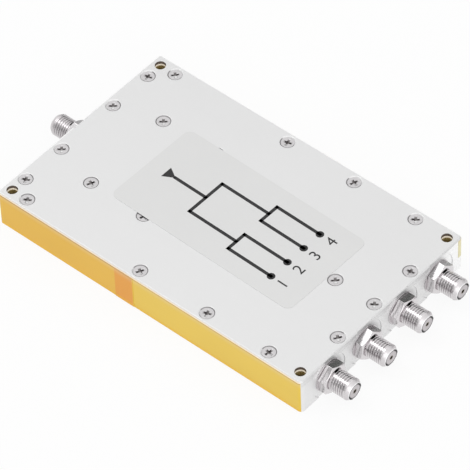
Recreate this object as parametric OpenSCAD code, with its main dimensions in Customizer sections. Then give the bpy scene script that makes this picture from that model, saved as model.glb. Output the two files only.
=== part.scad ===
// Four-way coaxial power splitter in a flat milled metal case, in millimetres.
// The input connector points along -X, the four outputs along +X, the cover faces +Z.
// The underside of the case lies on Z = 0 and the case is centred on the Z axis.

/* [Case] */
// Length of the case from end wall to end wall
body_length = 102; // [90:0.5:130]
// Width of the case from side wall to side wall
body_width = 63.3; // [56:0.1:80]
// Height of the case with its cover
body_height = 11.2; // [9.5:0.1:14]
// Radius of the four upright corners
corner_radius = 1.25; // [1:0.25:4]
// Thickness of the cover plate
cover_thickness = 1.8; // [1.5:0.1:3]
// Thickness of the two end walls that carry the connectors
end_wall = 5.4; // [5:0.1:8]
// Thickness of the two long side walls
side_wall = 5.4; // [5:0.1:8]
// Radius that the cutter leaves in the corners of the pocket
pocket_corner_radius = 2; // [1:0.25:4]

/* [Mounting holes] */
// Diameter of the four through holes in the corners
mount_hole_diameter = 3; // [2.4:0.1:3.4]
// Distance of the mounting holes from the end walls
mount_inset_end = 2.75; // [2.4:0.05:4]
// Distance of the mounting holes from the side walls
mount_inset_side = 2.98; // [2.4:0.02:4]

/* [Cover screws] */
// Thread diameter of the cover screws
screw_diameter = 2; // [1.6:0.1:2.2]
// Diameter of the countersunk heads
screw_head_diameter = 3.8; // [3.4:0.1:4.2]
// Length of the cover screws with their heads
screw_length = 7.5; // [6:0.5:8]
// Depth of the head below the face of the cover
screw_head_sink = 0.2; // [0.04:0.02:0.3]
// Width of each slot of the cross recess
screw_slot_width = 0.7; // [0.4:0.02:0.8]
// Length of each slot of the cross recess
screw_slot_length = 2.5; // [1.6:0.1:2.6]
// Depth of the cross recess
screw_slot_depth = 0.55; // [0.3:0.05:0.8]
// Length of a slot at its floor, as a share of its length at the face
slot_floor_share = 0.6; // [0.4:0.05:1]
// Distance of the edge screws from the end walls
screw_inset_end = 2.8; // [2.4:0.05:4]
// Distance of the edge screws from the side walls
screw_inset_side = 2.98; // [2.4:0.02:4]
// Distance of the outer input-end screws from the side walls
input_screw_from_side = 7.97; // [7:0.05:9]
// Distance between the two input-end screws beside the input
input_screw_spacing = 19.96; // [17:0.02:24]
// Distance of the first long-edge screws from the input end
edge_screw_1_from_input = 7.95; // [7:0.05:12]
// Distance of the second long-edge screws from the input end
edge_screw_2_from_input = 46.5; // [36:0.1:50]
// Distance of the third long-edge screws from the output end
edge_screw_3_from_output = 33.2; // [26:0.1:36]
// Distance of the fourth long-edge screws from the output end
edge_screw_4_from_output = 12.95; // [8:0.05:18]
// Distance of the first pair of inner screws from the input end
inner_screw_1_from_input = 16.7; // [14:0.1:20]
// Distance of the second pair of inner screws from the input end
inner_screw_2_from_input = 34.8; // [30:0.1:38]
// Distance of the middle inner screw from the output end
inner_screw_3_from_output = 15.5; // [13:0.1:18]
// Distance between the two screws of an inner pair
inner_screw_spacing = 28.05; // [24:0.05:32]
// Diameter of the inner posts that take the inner screws
post_diameter = 5; // [4:0.1:6]

/* [Connectors] */
// Distance between neighbouring output connectors
port_pitch = 14.16; // [13:0.02:16]
// Distance of the connector axes below the middle of the height
port_drop = 0.35; // [0:0.05:0.6]
// Reach of the connectors beyond the end walls
port_reach = 8.5; // [7.5:0.1:11]
// Outer diameter of the coupling thread
thread_diameter = 6.2; // [5.8:0.05:6.35]
// Length of the bevel at the front of the coupling thread
nose_length = 1.05; // [0.5:0.05:1.4]
// Outer diameter of the front rim
nose_diameter = 5.3; // [5:0.05:5.5]
// Width across the flats of the hexagon
hex_across_flats = 7.94; // [7:0.02:8.6]
// Thickness of the hexagon along the connector
hex_length = 2.4; // [1.8:0.1:3]
// Diameter of the flat front of the hexagon inside its bevel
hex_face_diameter = 7.5; // [6.8:0.05:7.8]
// Angle between the bevel of the hexagon and its flat front
hex_bevel_angle = 30; // [20:1:45]
// Length of the undercut between the hexagon and the thread
relief_length = 0.25; // [0.2:0.05:0.8]
// Diameter of the undercut between the hexagon and the thread
relief_diameter = 5.3; // [5:0.05:5.6]
// Diameter of the round spot face milled into the end wall
spot_diameter = 12.8; // [11.2:0.1:13]
// Depth of the spot face
spot_depth = 0.2; // [0.15:0.05:0.8]
// Outer diameter of the flat washer behind the hexagon
washer_diameter = 9.5; // [8.8:0.1:10.4]
// Thickness of the flat washer
washer_thickness = 0.2; // [0.15:0.05:0.6]
// Diameter of the rear spigot in the end wall
spigot_diameter = 5.6; // [5.4:0.05:6]
// Distance that the spigot stops short of the pocket
spigot_setback = 0.8; // [0.6:0.05:1.2]
// Length by which the bores for the spigots run out into the floor of the pocket
bore_runout = 1; // [0.5:0.1:2]
// Diameter of the insulator
insulator_diameter = 4.1; // [3.9:0.02:4.2]
// Diameter of the rear flange of the insulator
insulator_flange_diameter = 4.7; // [4.5:0.02:4.9]
// Thickness of the rear flange of the insulator
insulator_flange_length = 1; // [0.6:0.05:1.5]
// Diameter of the open mouth round the front of the insulator
mouth_diameter = 4.6; // [4.5:0.02:4.8]
// Depth of the open mouth round the front of the insulator
mouth_depth = 0.5; // [0.2:0.05:0.8]
// Distance of the insulator and the contact behind the front rim
face_setback = 0.06; // [0.02:0.02:0.4]
// Diameter of the centre contact
contact_diameter = 1.27; // [1.1:0.01:1.4]
// Diameter of the socket in the front of the centre contact
socket_diameter = 0.94; // [0.8:0.01:1]
// Depth of the socket in the front of the centre contact
socket_depth = 2.6; // [2:0.1:3.5]
// Diameter of the collar behind the insulator
collar_diameter = 1.9; // [1.6:0.05:2.2]
// Thickness of the collar behind the insulator
collar_length = 0.5; // [0.3:0.05:0.55]
// Width of the flat solder tab
tab_width = 1; // [0.8:0.05:1.2]
// Thickness of the flat solder tab
tab_thickness = 0.3; // [0.2:0.02:0.4]
// Length of the solder tab inside the pocket
tab_length = 2.6; // [2:0.1:3.5]
// Turn of the input hexagon about its axis
input_turn = 30; // [0:1:59]
// Turn of the first output hexagon about its axis
output_1_turn = 39; // [0:1:59]
// Turn of the second output hexagon about its axis
output_2_turn = 22; // [0:1:59]
// Turn of the third output hexagon about its axis
output_3_turn = 45; // [0:1:59]
// Turn of the fourth output hexagon about its axis
output_4_turn = 22; // [0:1:59]

/* [Circuit] */
// Thickness of the circuit board
board_thickness = 1; // [0.6:0.05:1.2]
// Gap between the board and the walls of the pocket
board_gap = 0.3; // [0.15:0.05:0.5]
// Gap between the board and the inner posts
post_gap = 0.25; // [0.15:0.05:0.5]
// Thickness of the copper
copper_thickness = 0.07; // [0.035:0.005:0.1]
// Distance of the copper from the edge of the board
copper_margin = 0.4; // [0.2:0.05:0.6]
// Width of the single feed lines
feed_width = 2.2; // [1.6:0.1:2.8]
// Width of the two lines of a splitting pair
pair_width = 1.2; // [0.8:0.05:1.4]
// Distance between the centres of the two lines of a pair
pair_spacing = 3.4; // [3.2:0.05:3.6]
// Distance of the first split from the input end
first_split_from_input = 21; // [19:0.1:24]
// Length of the first splitting pair
first_pair_length = 27; // [24:0.1:29]
// Length of each of the two second splitting pairs
second_pair_length = 24; // [20:0.1:26]
// Distance of the ends of the second pairs from the output end
second_pair_from_output = 21; // [19:0.1:23]
// Number of isolation resistors on the first pair
first_resistors = 5; // [3:1:6]
// Number of isolation resistors on each second pair
second_resistors = 4; // [3:1:5]
// Length of an isolation resistor across its pair
resistor_length = 3.2; // [3:0.05:3.4]
// Width of an isolation resistor along its pair
resistor_width = 1.6; // [1.2:0.05:2]
// Height of an isolation resistor
resistor_height = 0.55; // [0.4:0.05:0.7]
// Length of the metal cap at each end of a resistor
resistor_cap_length = 0.5; // [0.3:0.05:0.6]
// Thickness of the metal that wraps the end of a resistor
resistor_cap_wall = 0.05; // [0.04:0.01:0.1]
// Head diameter of the board screws
board_screw_head = 3.6; // [3:0.1:4]
// Head height of the board screws
board_screw_head_height = 1.1; // [0.8:0.05:1.4]
// Length of each slot in the heads of the board screws
board_slot_length = 2.4; // [1.8:0.1:2.6]
// Depth of each slot in the heads of the board screws
board_slot_depth = 0.55; // [0.3:0.05:0.7]
// Thread diameter of the board screws
board_screw_diameter = 1.6; // [1.4:0.1:2]
// Length of the board screws below their heads
board_screw_length = 3.5; // [3:0.1:4]
// Distance of the input-end board screws from the input end
board_screw_from_input = 10.2; // [9:0.1:11]
// Distance of the output-end board screws from the output end
board_screw_from_output = 10.2; // [9:0.1:11]
// Distance of the other board screws from the side walls
board_screw_from_side = 10; // [9:0.1:11]
// Distance of the middle board screws from the input end
board_screw_middle = 53; // [44:0.1:58]

/* [Label] */
// Length of the face label
label_length = 60.9; // [50:0.1:62]
// Width of the face label
label_width = 30.1; // [24:0.1:32]
// Thickness of the face label
label_thickness = 0.12; // [0.06:0.02:0.2]
// Corner radius of the face label
label_corner_radius = 2.2; // [1:0.1:4]
// Offset of the label towards the outputs
label_offset_x = 3.05; // [-4:0.01:4]
// Offset of the label towards the far side
label_offset_y = 0.3; // [-2:0.01:2]
// Slight turn with which the label was stuck on
label_turn = -1.2; // [-2:0.1:2]

/* [Side tape] */
// Thickness of one layer of tape
tape_thickness = 0.1; // [0.06:0.02:0.2]
// Gap between the tape and the top edge of the case
tape_edge_gap = 0.6; // [0.15:0.05:1]
// Length of the far tape that is folded round the corner onto the end wall
tape_fold = 1.8; // [1:0.1:4]
// Distance of the start of the near tape from the input end of the case
tape_start_gap = 0.9; // [0.2:0.05:6]
// Distance of the free end of the tape from the other end of the case
tape_end_gap = 0.45; // [0.2:0.05:6]
// Height of the lower edge of the near strips above the underside
near_tape_low = 0.1; // [0.05:0.05:1]
// Height of the lower edge of the far strips, which are narrower, above the underside
far_tape_low = 4.6; // [0.3:0.1:6]
// Distance of the lap joint from the folded end of the case
tape_lap_start = 40.4; // [30:0.1:60]
// Length over which the two strips lap
tape_lap_length = 6; // [3:0.1:10]

/* [Clearances] */
// Gap between a round piece and the bore it sits in
fit_gap = 0.03; // [0.02:0.01:0.06]
// Gap between a screw thread and its tapped hole
tap_gap = 0.05; // [0.03:0.01:0.1]
// Gap between a screw and the clearance hole it passes through
pass_gap = 0.1; // [0.06:0.02:0.3]
// Extra depth of a blind tapped hole below the screw
blind_gap = 0.5; // [0.3:0.1:1]

/* [Hidden] */
$fn = 96;
over = 1;
half_length = body_length / 2;
half_width = body_width / 2;
base_height = body_height - cover_thickness;
pocket_length = body_length - 2 * end_wall;
pocket_width = body_width - 2 * side_wall;
screw_r = screw_diameter / 2;
screw_head_r = screw_head_diameter / 2;
screw_cone = screw_head_r - screw_r;
sink_r = screw_head_r + screw_head_sink + fit_gap;
pass_r = screw_r + pass_gap;
sink_depth = sink_r - pass_r;
tap_depth = screw_length + screw_head_sink - cover_thickness + blind_gap;
mount_x = half_length - mount_inset_end;
mount_y = half_width - mount_inset_side;
edge_x = half_length - screw_inset_end;
edge_y = half_width - screw_inset_side;
input_outer_y = half_width - input_screw_from_side;
input_inner_y = input_screw_spacing / 2;
inner_y = inner_screw_spacing / 2;
edge_x_1 = edge_screw_1_from_input - half_length;
edge_x_2 = edge_screw_2_from_input - half_length;
edge_x_3 = half_length - edge_screw_3_from_output;
edge_x_4 = half_length - edge_screw_4_from_output;
inner_x_1 = inner_screw_1_from_input - half_length;
inner_x_2 = inner_screw_2_from_input - half_length;
inner_x_3 = half_length - inner_screw_3_from_output;
spot_x = half_length - spot_depth;
hex_x = spot_x + washer_thickness;
thread_x = hex_x + hex_length + relief_length;
tip_x = half_length + port_reach;
mouth_x = tip_x - mouth_depth;
face_x = tip_x - face_setback;
pocket_x = half_length - end_wall;
spigot_x = pocket_x + spigot_setback;
hex_bevel_reach = hex_length / tan(hex_bevel_angle);
// The axes stay high enough for the washers to clear the underside of a low case.
port_axis_height = max(body_height / 2 - port_drop, washer_diameter / 2 + fit_gap);
inner_port_y = port_pitch / 2;
outer_port_y = 3 * port_pitch / 2;
copper_top = port_axis_height - tab_thickness / 2;
board_top = copper_top - copper_thickness;
floor_z = board_top - board_thickness;
board_length = pocket_length - 2 * board_gap;
board_width = pocket_width - 2 * board_gap;
copper_x = board_length / 2 - copper_margin;
pair_y = pair_spacing / 2;
pair_reach = pair_y + pair_width / 2;
split_x_1 = first_split_from_input - half_length;
join_x_1 = split_x_1 + first_pair_length;
join_x_2 = half_length - second_pair_from_output;
split_x_2 = join_x_2 - second_pair_length;
board_screw_x_1 = board_screw_from_input - half_length;
board_screw_x_2 = board_screw_middle - half_length;
board_screw_x_3 = half_length - board_screw_from_output;
board_screw_y = half_width - board_screw_from_side;
tape_corner_radius = corner_radius - fit_gap;
tape_top = body_height - tape_edge_gap;
tape_lap_x = tape_lap_start - half_length;
tape_lap_end = tape_lap_x + tape_lap_length;

// Position and recess turn of every cover screw
SCREWS = [
    [-edge_x, input_outer_y, 12], [-edge_x, input_inner_y, 40],
    [-edge_x, -input_inner_y, 40], [-edge_x, -input_outer_y, 25],
    [edge_x_1, edge_y, 50], [edge_x_2, edge_y, 15], [edge_x_3, edge_y, 70], [edge_x_4, edge_y, 35],
    [edge_x_1, -edge_y, 30], [edge_x_2, -edge_y, 60], [edge_x_3, -edge_y, 20], [edge_x_4, -edge_y, 80],
    [edge_x, port_pitch, 10], [edge_x, 0, 35], [edge_x, -port_pitch, 55],
    [inner_x_1, inner_y, 40], [inner_x_1, -inner_y, 65],
    [inner_x_2, inner_y, 20], [inner_x_2, -inner_y, 75], [inner_x_3, 0, 45]
];
INNER = [
    [inner_x_1, inner_y], [inner_x_1, -inner_y],
    [inner_x_2, inner_y], [inner_x_2, -inner_y], [inner_x_3, 0]
];
MOUNTS = [[mount_x, mount_y], [mount_x, -mount_y], [-mount_x, mount_y], [-mount_x, -mount_y]];
BOARD_SCREWS = [
    [board_screw_x_1, board_screw_y], [board_screw_x_1, -board_screw_y],
    [board_screw_x_2, board_screw_y], [board_screw_x_2, -board_screw_y],
    [board_screw_x_3, port_pitch], [board_screw_x_3, -port_pitch]
];
// Turn of the end wall about Z and place along that wall of every connector
PORTS = [[180, 0], [0, -outer_port_y], [0, -inner_port_y], [0, inner_port_y], [0, outer_port_y]];

// Flat rectangle with round corners, centred on the origin.
module round_rect(length, width, radius) {
    square([length - 2 * radius, width], center = true);
    square([length, width - 2 * radius], center = true);
    for (sx = [-1, 1], sy = [-1, 1])
        translate([sx * (length / 2 - radius), sy * (width / 2 - radius)])
            circle(r = radius);
}

// Puts its children on the axis of a connector, with +X pointing out of the end wall.
module at_port(port) {
    rotate([0, 0, port[0]])
        translate([0, port[1], port_axis_height])
            children();
}

// Solid of revolution about X, from one x to another.
module rod_x(x0, x1, d) {
    translate([x0, 0, 0])
        rotate([0, 90, 0])
            cylinder(h = x1 - x0, d = d);
}

// Flat strip between two corners.
module strip(x0, y0, x1, y1) {
    translate([x0, y0])
        square([x1 - x0, y1 - y0]);
}

// Bores for the spigots, each with the round spot face that its washer sits on.
// The spot faces run out over both edges of the wall.
module port_seats() {
    for (port = PORTS)
        at_port(port) {
            rod_x(pocket_x - bore_runout, half_length + over, spigot_diameter + 2 * tap_gap);
            rod_x(spot_x, half_length + over, spot_diameter);
        }
}

// The four mounting holes, cut through the case.
module mount_holes() {
    for (m = MOUNTS)
        translate([m[0], m[1], -over])
            cylinder(h = body_height + 2 * over, d = mount_hole_diameter);
}

// Milled tray that carries the board, the connectors and the cover.
module housing_base() {
    color("gainsboro")
    difference() {
        union() {
            difference() {
                linear_extrude(base_height)
                    round_rect(body_length, body_width, corner_radius);
                translate([0, 0, floor_z])
                    linear_extrude(base_height)
                        round_rect(pocket_length, pocket_width, pocket_corner_radius);
            }
            for (p = INNER)
                translate([p[0], p[1], 0])
                    cylinder(h = base_height, d = post_diameter);
        }
        for (s = SCREWS)
            translate([s[0], s[1], base_height - tap_depth])
                cylinder(h = tap_depth + over, r = screw_r + tap_gap);
        for (b = BOARD_SCREWS)
            translate([b[0], b[1], board_top - board_screw_length - fit_gap])
                cylinder(h = board_screw_length + over, d = board_screw_diameter + 2 * tap_gap);
        mount_holes();
        port_seats();
    }
}

// Cover plate with a countersunk hole for every screw.
module top_cover() {
    color("whitesmoke")
    difference() {
        translate([0, 0, base_height])
            linear_extrude(cover_thickness)
                round_rect(body_length, body_width, corner_radius);
        for (s = SCREWS)
            translate([s[0], s[1], base_height - over]) {
                cylinder(h = cover_thickness + 2 * over, r = pass_r);
                translate([0, 0, over + cover_thickness - sink_depth])
                    cylinder(h = sink_depth, r1 = pass_r, r2 = sink_r);
            }
        mount_holes();
        port_seats();
    }
}

// Thin label stuck on the cover, a little askew.
module face_label() {
    color("silver")
    translate([label_offset_x, label_offset_y, body_height])
        rotate([0, 0, label_turn])
            linear_extrude(label_thickness)
                round_rect(label_length, label_width, label_corner_radius);
}

// Outline of one layer of tape all round the case.
module tape_ring(inside, outside) {
    difference() {
        round_rect(body_length + 2 * outside, body_width + 2 * outside, tape_corner_radius + outside);
        round_rect(body_length + 2 * inside, body_width + 2 * inside, tape_corner_radius + inside);
    }
}

// Strip that starts on or beyond the corner and lies under the lap joint.
module first_tape(low, start_x, fold) {
    translate([0, 0, low])
        linear_extrude(tape_top - low)
            intersection() {
                tape_ring(0, tape_thickness);
                strip(start_x, -half_width - over, tape_lap_end, fold - half_width);
            }
}

// Strip that lies over the end of the first one, then steps down to the wall and ends on the corner.
module lapped_tape(low) {
    step_x = tape_lap_end + fit_gap;
    low_y = -half_width - tape_thickness;
    translate([0, 0, low])
        linear_extrude(tape_top - low)
            union() {
                strip(tape_lap_x, low_y - tape_thickness, step_x + tape_thickness, low_y);
                strip(step_x, low_y - tape_thickness, step_x + tape_thickness, -half_width);
                intersection() {
                    tape_ring(0, tape_thickness);
                    strip(step_x, low_y - over, half_length - tape_end_gap, 0);
                }
            }
}

// Near side of the case: the strip from the input end.
module tape_near_input() {
    color("goldenrod")
        first_tape(near_tape_low, tape_start_gap - half_length, corner_radius);
}

// Near side of the case: the strip towards the outputs.
module tape_near_output() {
    color("gold")
        lapped_tape(near_tape_low);
}

// Far side of the case: the strip from the output end.
module tape_far_output() {
    color("goldenrod")
        rotate([0, 0, 180])
            first_tape(far_tape_low, -half_length - over, tape_fold);
}

// Far side of the case: the strip towards the input.
module tape_far_input() {
    color("gold")
        rotate([0, 0, 180])
            lapped_tape(far_tape_low);
}

// Circuit board that lies on the floor of the pocket, cut out round the posts.
module circuit_board() {
    color("seagreen")
    translate([0, 0, floor_z])
        linear_extrude(board_thickness)
            difference() {
                round_rect(board_length, board_width, pocket_corner_radius);
                for (p = INNER)
                    translate([p[0], p[1]])
                        circle(d = post_diameter + 2 * post_gap);
                for (b = BOARD_SCREWS)
                    translate([b[0], b[1]])
                        circle(d = board_screw_diameter + 2 * pass_gap);
            }
}

// One splitting pair from its split to its join, with the two lines led apart at the join.
module pair_lines(split_x, join_x, centre_y, spread) {
    strip(split_x, centre_y - pair_reach, split_x + pair_width, centre_y + pair_reach);
    for (side = [-1, 1]) {
        line_y = centre_y + side * pair_y;
        port_y = centre_y + side * spread;
        low_y = min(line_y - pair_width / 2, port_y - feed_width / 2);
        high_y = max(line_y + pair_width / 2, port_y + feed_width / 2);
        strip(split_x, line_y - pair_width / 2, join_x, line_y + pair_width / 2);
        strip(join_x - pair_width, low_y, join_x, high_y);
    }
}

// Copper of the splitting tree: one feed, a first pair, two second pairs and four outputs.
module copper_traces() {
    color("orange")
    translate([0, 0, board_top])
        linear_extrude(copper_thickness)
            union() {
                strip(-copper_x, -feed_width / 2, split_x_1 + pair_width, feed_width / 2);
                pair_lines(split_x_1, join_x_1, 0, port_pitch);
                for (side = [-1, 1]) {
                    branch_y = side * port_pitch;
                    strip(join_x_1 - pair_width, branch_y - feed_width / 2,
                          split_x_2 + pair_width, branch_y + feed_width / 2);
                    pair_lines(split_x_2, join_x_2, branch_y, port_pitch / 2);
                    for (half = [-1, 1])
                        strip(join_x_2 - pair_width, branch_y + half * port_pitch / 2 - feed_width / 2,
                              copper_x, branch_y + half * port_pitch / 2 + feed_width / 2);
                }
            }
}

// Puts its children at every isolation resistor, with the ends of the resistor along Y.
module at_resistors() {
    first_step = first_pair_length / (first_resistors + 1);
    second_step = second_pair_length / (second_resistors + 1);
    for (i = [1 : first_resistors])
        translate([split_x_1 + i * first_step, 0, copper_top])
            children();
    for (side = [-1, 1], i = [1 : second_resistors])
        translate([split_x_2 + i * second_step, side * port_pitch, copper_top])
            children();
}

// Ceramic bodies of the isolation resistors, between their metal caps.
module resistor_bodies() {
    body_y = resistor_length / 2 - resistor_cap_length;
    tongue_y = resistor_length / 2 - resistor_cap_wall;
    color("dimgray")
    at_resistors() {
        translate([-resistor_width / 2, -body_y, 0])
            cube([resistor_width, 2 * body_y, resistor_height]);
        translate([-resistor_width / 2, -tongue_y, resistor_cap_wall])
            cube([resistor_width, 2 * tongue_y, resistor_height - 2 * resistor_cap_wall]);
    }
}

// Metal caps folded over both ends of every isolation resistor.
module resistor_caps() {
    color("lightsteelblue")
    at_resistors()
        for (side = [0, 180])
            rotate([0, 0, side])
                translate([-resistor_width / 2, resistor_length / 2 - resistor_cap_length, 0])
                    difference() {
                        cube([resistor_width, resistor_cap_length, resistor_height]);
                        translate([-over, -over, resistor_cap_wall])
                            cube([resistor_width + 2 * over, resistor_cap_length + over - resistor_cap_wall,
                                  resistor_height - 2 * resistor_cap_wall]);
                    }
}

// Cross recess of a screw, cut down from its top face, with ends that slope inwards.
module cross_recess(slot_length, slot_width, slot_depth) {
    half_slot = slot_length / 2;
    half_floor = half_slot * slot_floor_share;
    for (turn = [0, 90])
        rotate([0, 0, turn])
            translate([0, slot_width / 2, 0])
                rotate([90, 0, 0])
                    linear_extrude(slot_width)
                        polygon([
                            [-half_floor, -slot_depth], [half_floor, -slot_depth],
                            [half_slot, 0], [half_slot, over], [-half_slot, over], [-half_slot, 0]
                        ]);
}

// Small round-headed screws that hold the board down.
module board_screws() {
    color("darkgray")
    for (b = BOARD_SCREWS)
        translate([b[0], b[1], board_top])
            difference() {
                union() {
                    cylinder(h = board_screw_head_height, d = board_screw_head);
                    translate([0, 0, -board_screw_length])
                        cylinder(h = board_screw_length, d = board_screw_diameter);
                }
                translate([0, 0, board_screw_head_height])
                    cross_recess(board_slot_length, screw_slot_width, board_slot_depth);
            }
}

// Countersunk cover screws, each turned as it was tightened.
module cover_screws() {
    color("darkgray")
    for (s = SCREWS)
        translate([s[0], s[1], body_height - screw_head_sink])
            rotate([0, 0, s[2]])
                difference() {
                    rotate_extrude()
                        polygon([
                            [0, -screw_length], [screw_r, -screw_length],
                            [screw_r, -screw_cone], [screw_head_r, 0], [0, 0]
                        ]);
                    cross_recess(screw_slot_length, screw_slot_width, screw_slot_depth);
                }
}

// Flat washers between the hexagons and the spot faces.
module seat_washers() {
    color("silver")
    for (port = PORTS)
        at_port(port)
            difference() {
                rod_x(spot_x, hex_x, washer_diameter);
                rod_x(spot_x - over, hex_x + over, spigot_diameter + 2 * pass_gap);
            }
}

// Bevelled hexagon, turned about the connector axis.
module hexagon(turn) {
    hex_r = hex_across_flats / sqrt(3);
    face_r = hex_face_diameter / 2;
    translate([hex_x, 0, 0])
        rotate([turn, 0, 0])
            rotate([0, 90, 0])
                intersection() {
                    rotate([0, 0, 90])
                        cylinder(h = hex_length, r = hex_r, $fn = 6);
                    cylinder(h = hex_length, r1 = face_r + hex_bevel_reach, r2 = face_r);
                }
}

// Metal shell of one connector: spigot, hexagon, undercut and threaded barrel.
module shell(port, turn) {
    color("lightgray")
    at_port(port)
        difference() {
            union() {
                rod_x(spigot_x, hex_x + hex_length / 2, spigot_diameter);
                hexagon(turn);
                rod_x(hex_x + hex_length / 2, thread_x + relief_length, relief_diameter);
                rod_x(thread_x, tip_x - nose_length, thread_diameter);
                translate([tip_x - nose_length, 0, 0])
                    rotate([0, 90, 0])
                        cylinder(h = nose_length, d1 = thread_diameter, d2 = nose_diameter);
            }
            rod_x(spigot_x - over, tip_x + over, insulator_diameter + 2 * fit_gap);
            rod_x(mouth_x, tip_x + over, mouth_diameter);
            rod_x(spigot_x - over, spigot_x + insulator_flange_length,
                  insulator_flange_diameter + 2 * fit_gap);
        }
}

// Insulator of one connector, held by its rear flange.
module insulator(port) {
    color("ivory")
    at_port(port)
        difference() {
            union() {
                rod_x(spigot_x, face_x, insulator_diameter);
                rod_x(spigot_x, spigot_x + insulator_flange_length, insulator_flange_diameter);
            }
            rod_x(spigot_x - over, face_x + over, contact_diameter + 2 * fit_gap);
        }
}

// Centre contact of one connector: socket, collar and flat solder tab.
module contact(port) {
    color("gold")
    at_port(port)
        difference() {
            union() {
                rod_x(spigot_x - collar_length / 2, face_x, contact_diameter);
                rod_x(spigot_x - collar_length, spigot_x, collar_diameter);
                translate([pocket_x - tab_length, -tab_width / 2, -tab_thickness / 2])
                    cube([spigot_x - collar_length / 2 - pocket_x + tab_length, tab_width, tab_thickness]);
            }
            rod_x(face_x - socket_depth, face_x + over, socket_diameter);
        }
}

// The input connector.
module input_shell() { shell(PORTS[0], input_turn); }
module input_insulator() { insulator(PORTS[0]); }
module input_contact() { contact(PORTS[0]); }

// The four output connectors, counted from the near side.
module output_1_shell() { shell(PORTS[1], output_1_turn); }
module output_1_insulator() { insulator(PORTS[1]); }
module output_1_contact() { contact(PORTS[1]); }
module output_2_shell() { shell(PORTS[2], output_2_turn); }
module output_2_insulator() { insulator(PORTS[2]); }
module output_2_contact() { contact(PORTS[2]); }
module output_3_shell() { shell(PORTS[3], output_3_turn); }
module output_3_insulator() { insulator(PORTS[3]); }
module output_3_contact() { contact(PORTS[3]); }
module output_4_shell() { shell(PORTS[4], output_4_turn); }
module output_4_insulator() { insulator(PORTS[4]); }
module output_4_contact() { contact(PORTS[4]); }

housing_base();
top_cover();
face_label();
tape_near_input();
tape_near_output();
tape_far_input();
tape_far_output();
circuit_board();
copper_traces();
resistor_bodies();
resistor_caps();
board_screws();
cover_screws();
seat_washers();
input_shell();
input_insulator();
input_contact();
output_1_shell();
output_1_insulator();
output_1_contact();
output_2_shell();
output_2_insulator();
output_2_contact();
output_3_shell();
output_3_insulator();
output_3_contact();
output_4_shell();
output_4_insulator();
output_4_contact();
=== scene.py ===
"""The looks of a four-way coaxial power splitter, in metres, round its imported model."""

import math

import bmesh
import bpy
from mathutils import Matrix, Vector


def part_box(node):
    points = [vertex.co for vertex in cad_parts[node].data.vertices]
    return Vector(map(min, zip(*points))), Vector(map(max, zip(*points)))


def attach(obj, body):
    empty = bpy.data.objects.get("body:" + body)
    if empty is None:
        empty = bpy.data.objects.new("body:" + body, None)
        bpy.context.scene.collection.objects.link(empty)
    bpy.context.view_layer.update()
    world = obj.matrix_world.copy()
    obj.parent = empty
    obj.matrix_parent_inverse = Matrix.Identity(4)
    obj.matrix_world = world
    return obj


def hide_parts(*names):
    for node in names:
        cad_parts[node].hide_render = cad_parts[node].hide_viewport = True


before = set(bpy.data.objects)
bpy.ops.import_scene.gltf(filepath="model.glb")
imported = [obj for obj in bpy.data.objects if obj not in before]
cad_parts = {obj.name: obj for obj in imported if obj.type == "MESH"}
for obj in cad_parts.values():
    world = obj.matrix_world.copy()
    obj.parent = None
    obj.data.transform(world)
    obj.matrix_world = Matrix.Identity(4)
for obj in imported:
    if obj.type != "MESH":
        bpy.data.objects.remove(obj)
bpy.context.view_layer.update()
MM = 0.001
PORTS = ("input", "output_1", "output_2", "output_3", "output_4")
COVER_LOW, COVER_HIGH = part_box("top_cover")
LABEL_LOW, LABEL_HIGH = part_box("face_label")
TAPE_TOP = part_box("tape_near_input")[1].z
FAR_TAPE_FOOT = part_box("tape_far_output")[0].z
AXIS_LOW, AXIS_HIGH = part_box("input_insulator")

# Camera
AIM = Vector((-0.00074, 0.0030, 0.0))
DISTANCE = 1.15719
AZIMUTH = math.radians(42.651)
ELEVATION = math.radians(47.773)
ROLL = math.radians(-2.554)
LENS = 345.69

# Light
WORLD_LIGHT = 0.80
FLOOR_SIZE = 4.0
FLOOR_DROP = 0.0001
FLOOR_WHITE = 0.90

# Seats of the connectors
PORT_PITCH = 14.16 * MM
PORT_HEIGHT = (AXIS_LOW.z + AXIS_HIGH.z) / 2
SEAT_X = 50.8 * MM
SEAT_R = 6.4 * MM
SEAT_SHADE_R = 4.4 * MM
SHADED_ROW_Y = COVER_LOW.y / 4
SHADED_ROW_HALF = 1.5 * PORT_PITCH + 0.2 * MM

# Connector barrels, as distances behind the tip of the connector and as radii
HEX_REAR = 8.50 * MM
HEX_FRONT = 6.10 * MM
RELIEF_FRONT = 5.85 * MM
THREAD_REAR = 5.78 * MM
THREAD_FRONT = 1.30 * MM
NOSE_REAR = 1.05 * MM
MOUTH_DEPTH = 0.50 * MM
RIM_ROUND = 0.07 * MM
NOSE_EASE = 0.05 * MM
BORE_R = 2.08 * MM
RELIEF_R = 2.85 * MM
THREAD_R = 3.10 * MM
NOSE_R = 2.42 * MM
MOUTH_R = 2.20 * MM
THREAD_PITCH = 25.4 * MM / 36
THREAD_DEPTH = 0.26 * MM
CREST_HALF = THREAD_PITCH / 8
FLANK_RUN = THREAD_DEPTH * math.tan(math.radians(30))
ROWS_PER_TURN = 16
BARREL_SIDES = 96
FLAT_AREA = 4 * MM * MM
UPPER_FLAT = 0.75
TOP_FLAT = 0.85
FAR_FLAT = 0.5

# Painted dark reflections and painted shadows on the connectors
RUNOUT_AT = 5.66 * MM
RUNOUT_GAP = 0.29 * MM
FACE_WAY = (0.85, 0.53)
FACE_END = 1.75 * MM
INSULATOR_EDGE = 1.70 * MM

# Softened edges
SHARP_ANGLE = math.radians(28)
CASE_EASE = 0.08 * MM
RIM_EASE = 0.45 * MM
RIM_BAND = 0.6 * MM
# Where the painted shade and the painted highlight of the near rim begin
NEAR_WARM = 31.2 * MM
# Where the painted light on the output wall begins
FAR_END = 22 * MM
HEX_EASE = 0.09 * MM
RECESS_EASE = 0.06 * MM
HEAD_EASE = 0.15 * MM
LABEL_EASE = 0.03 * MM

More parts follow.
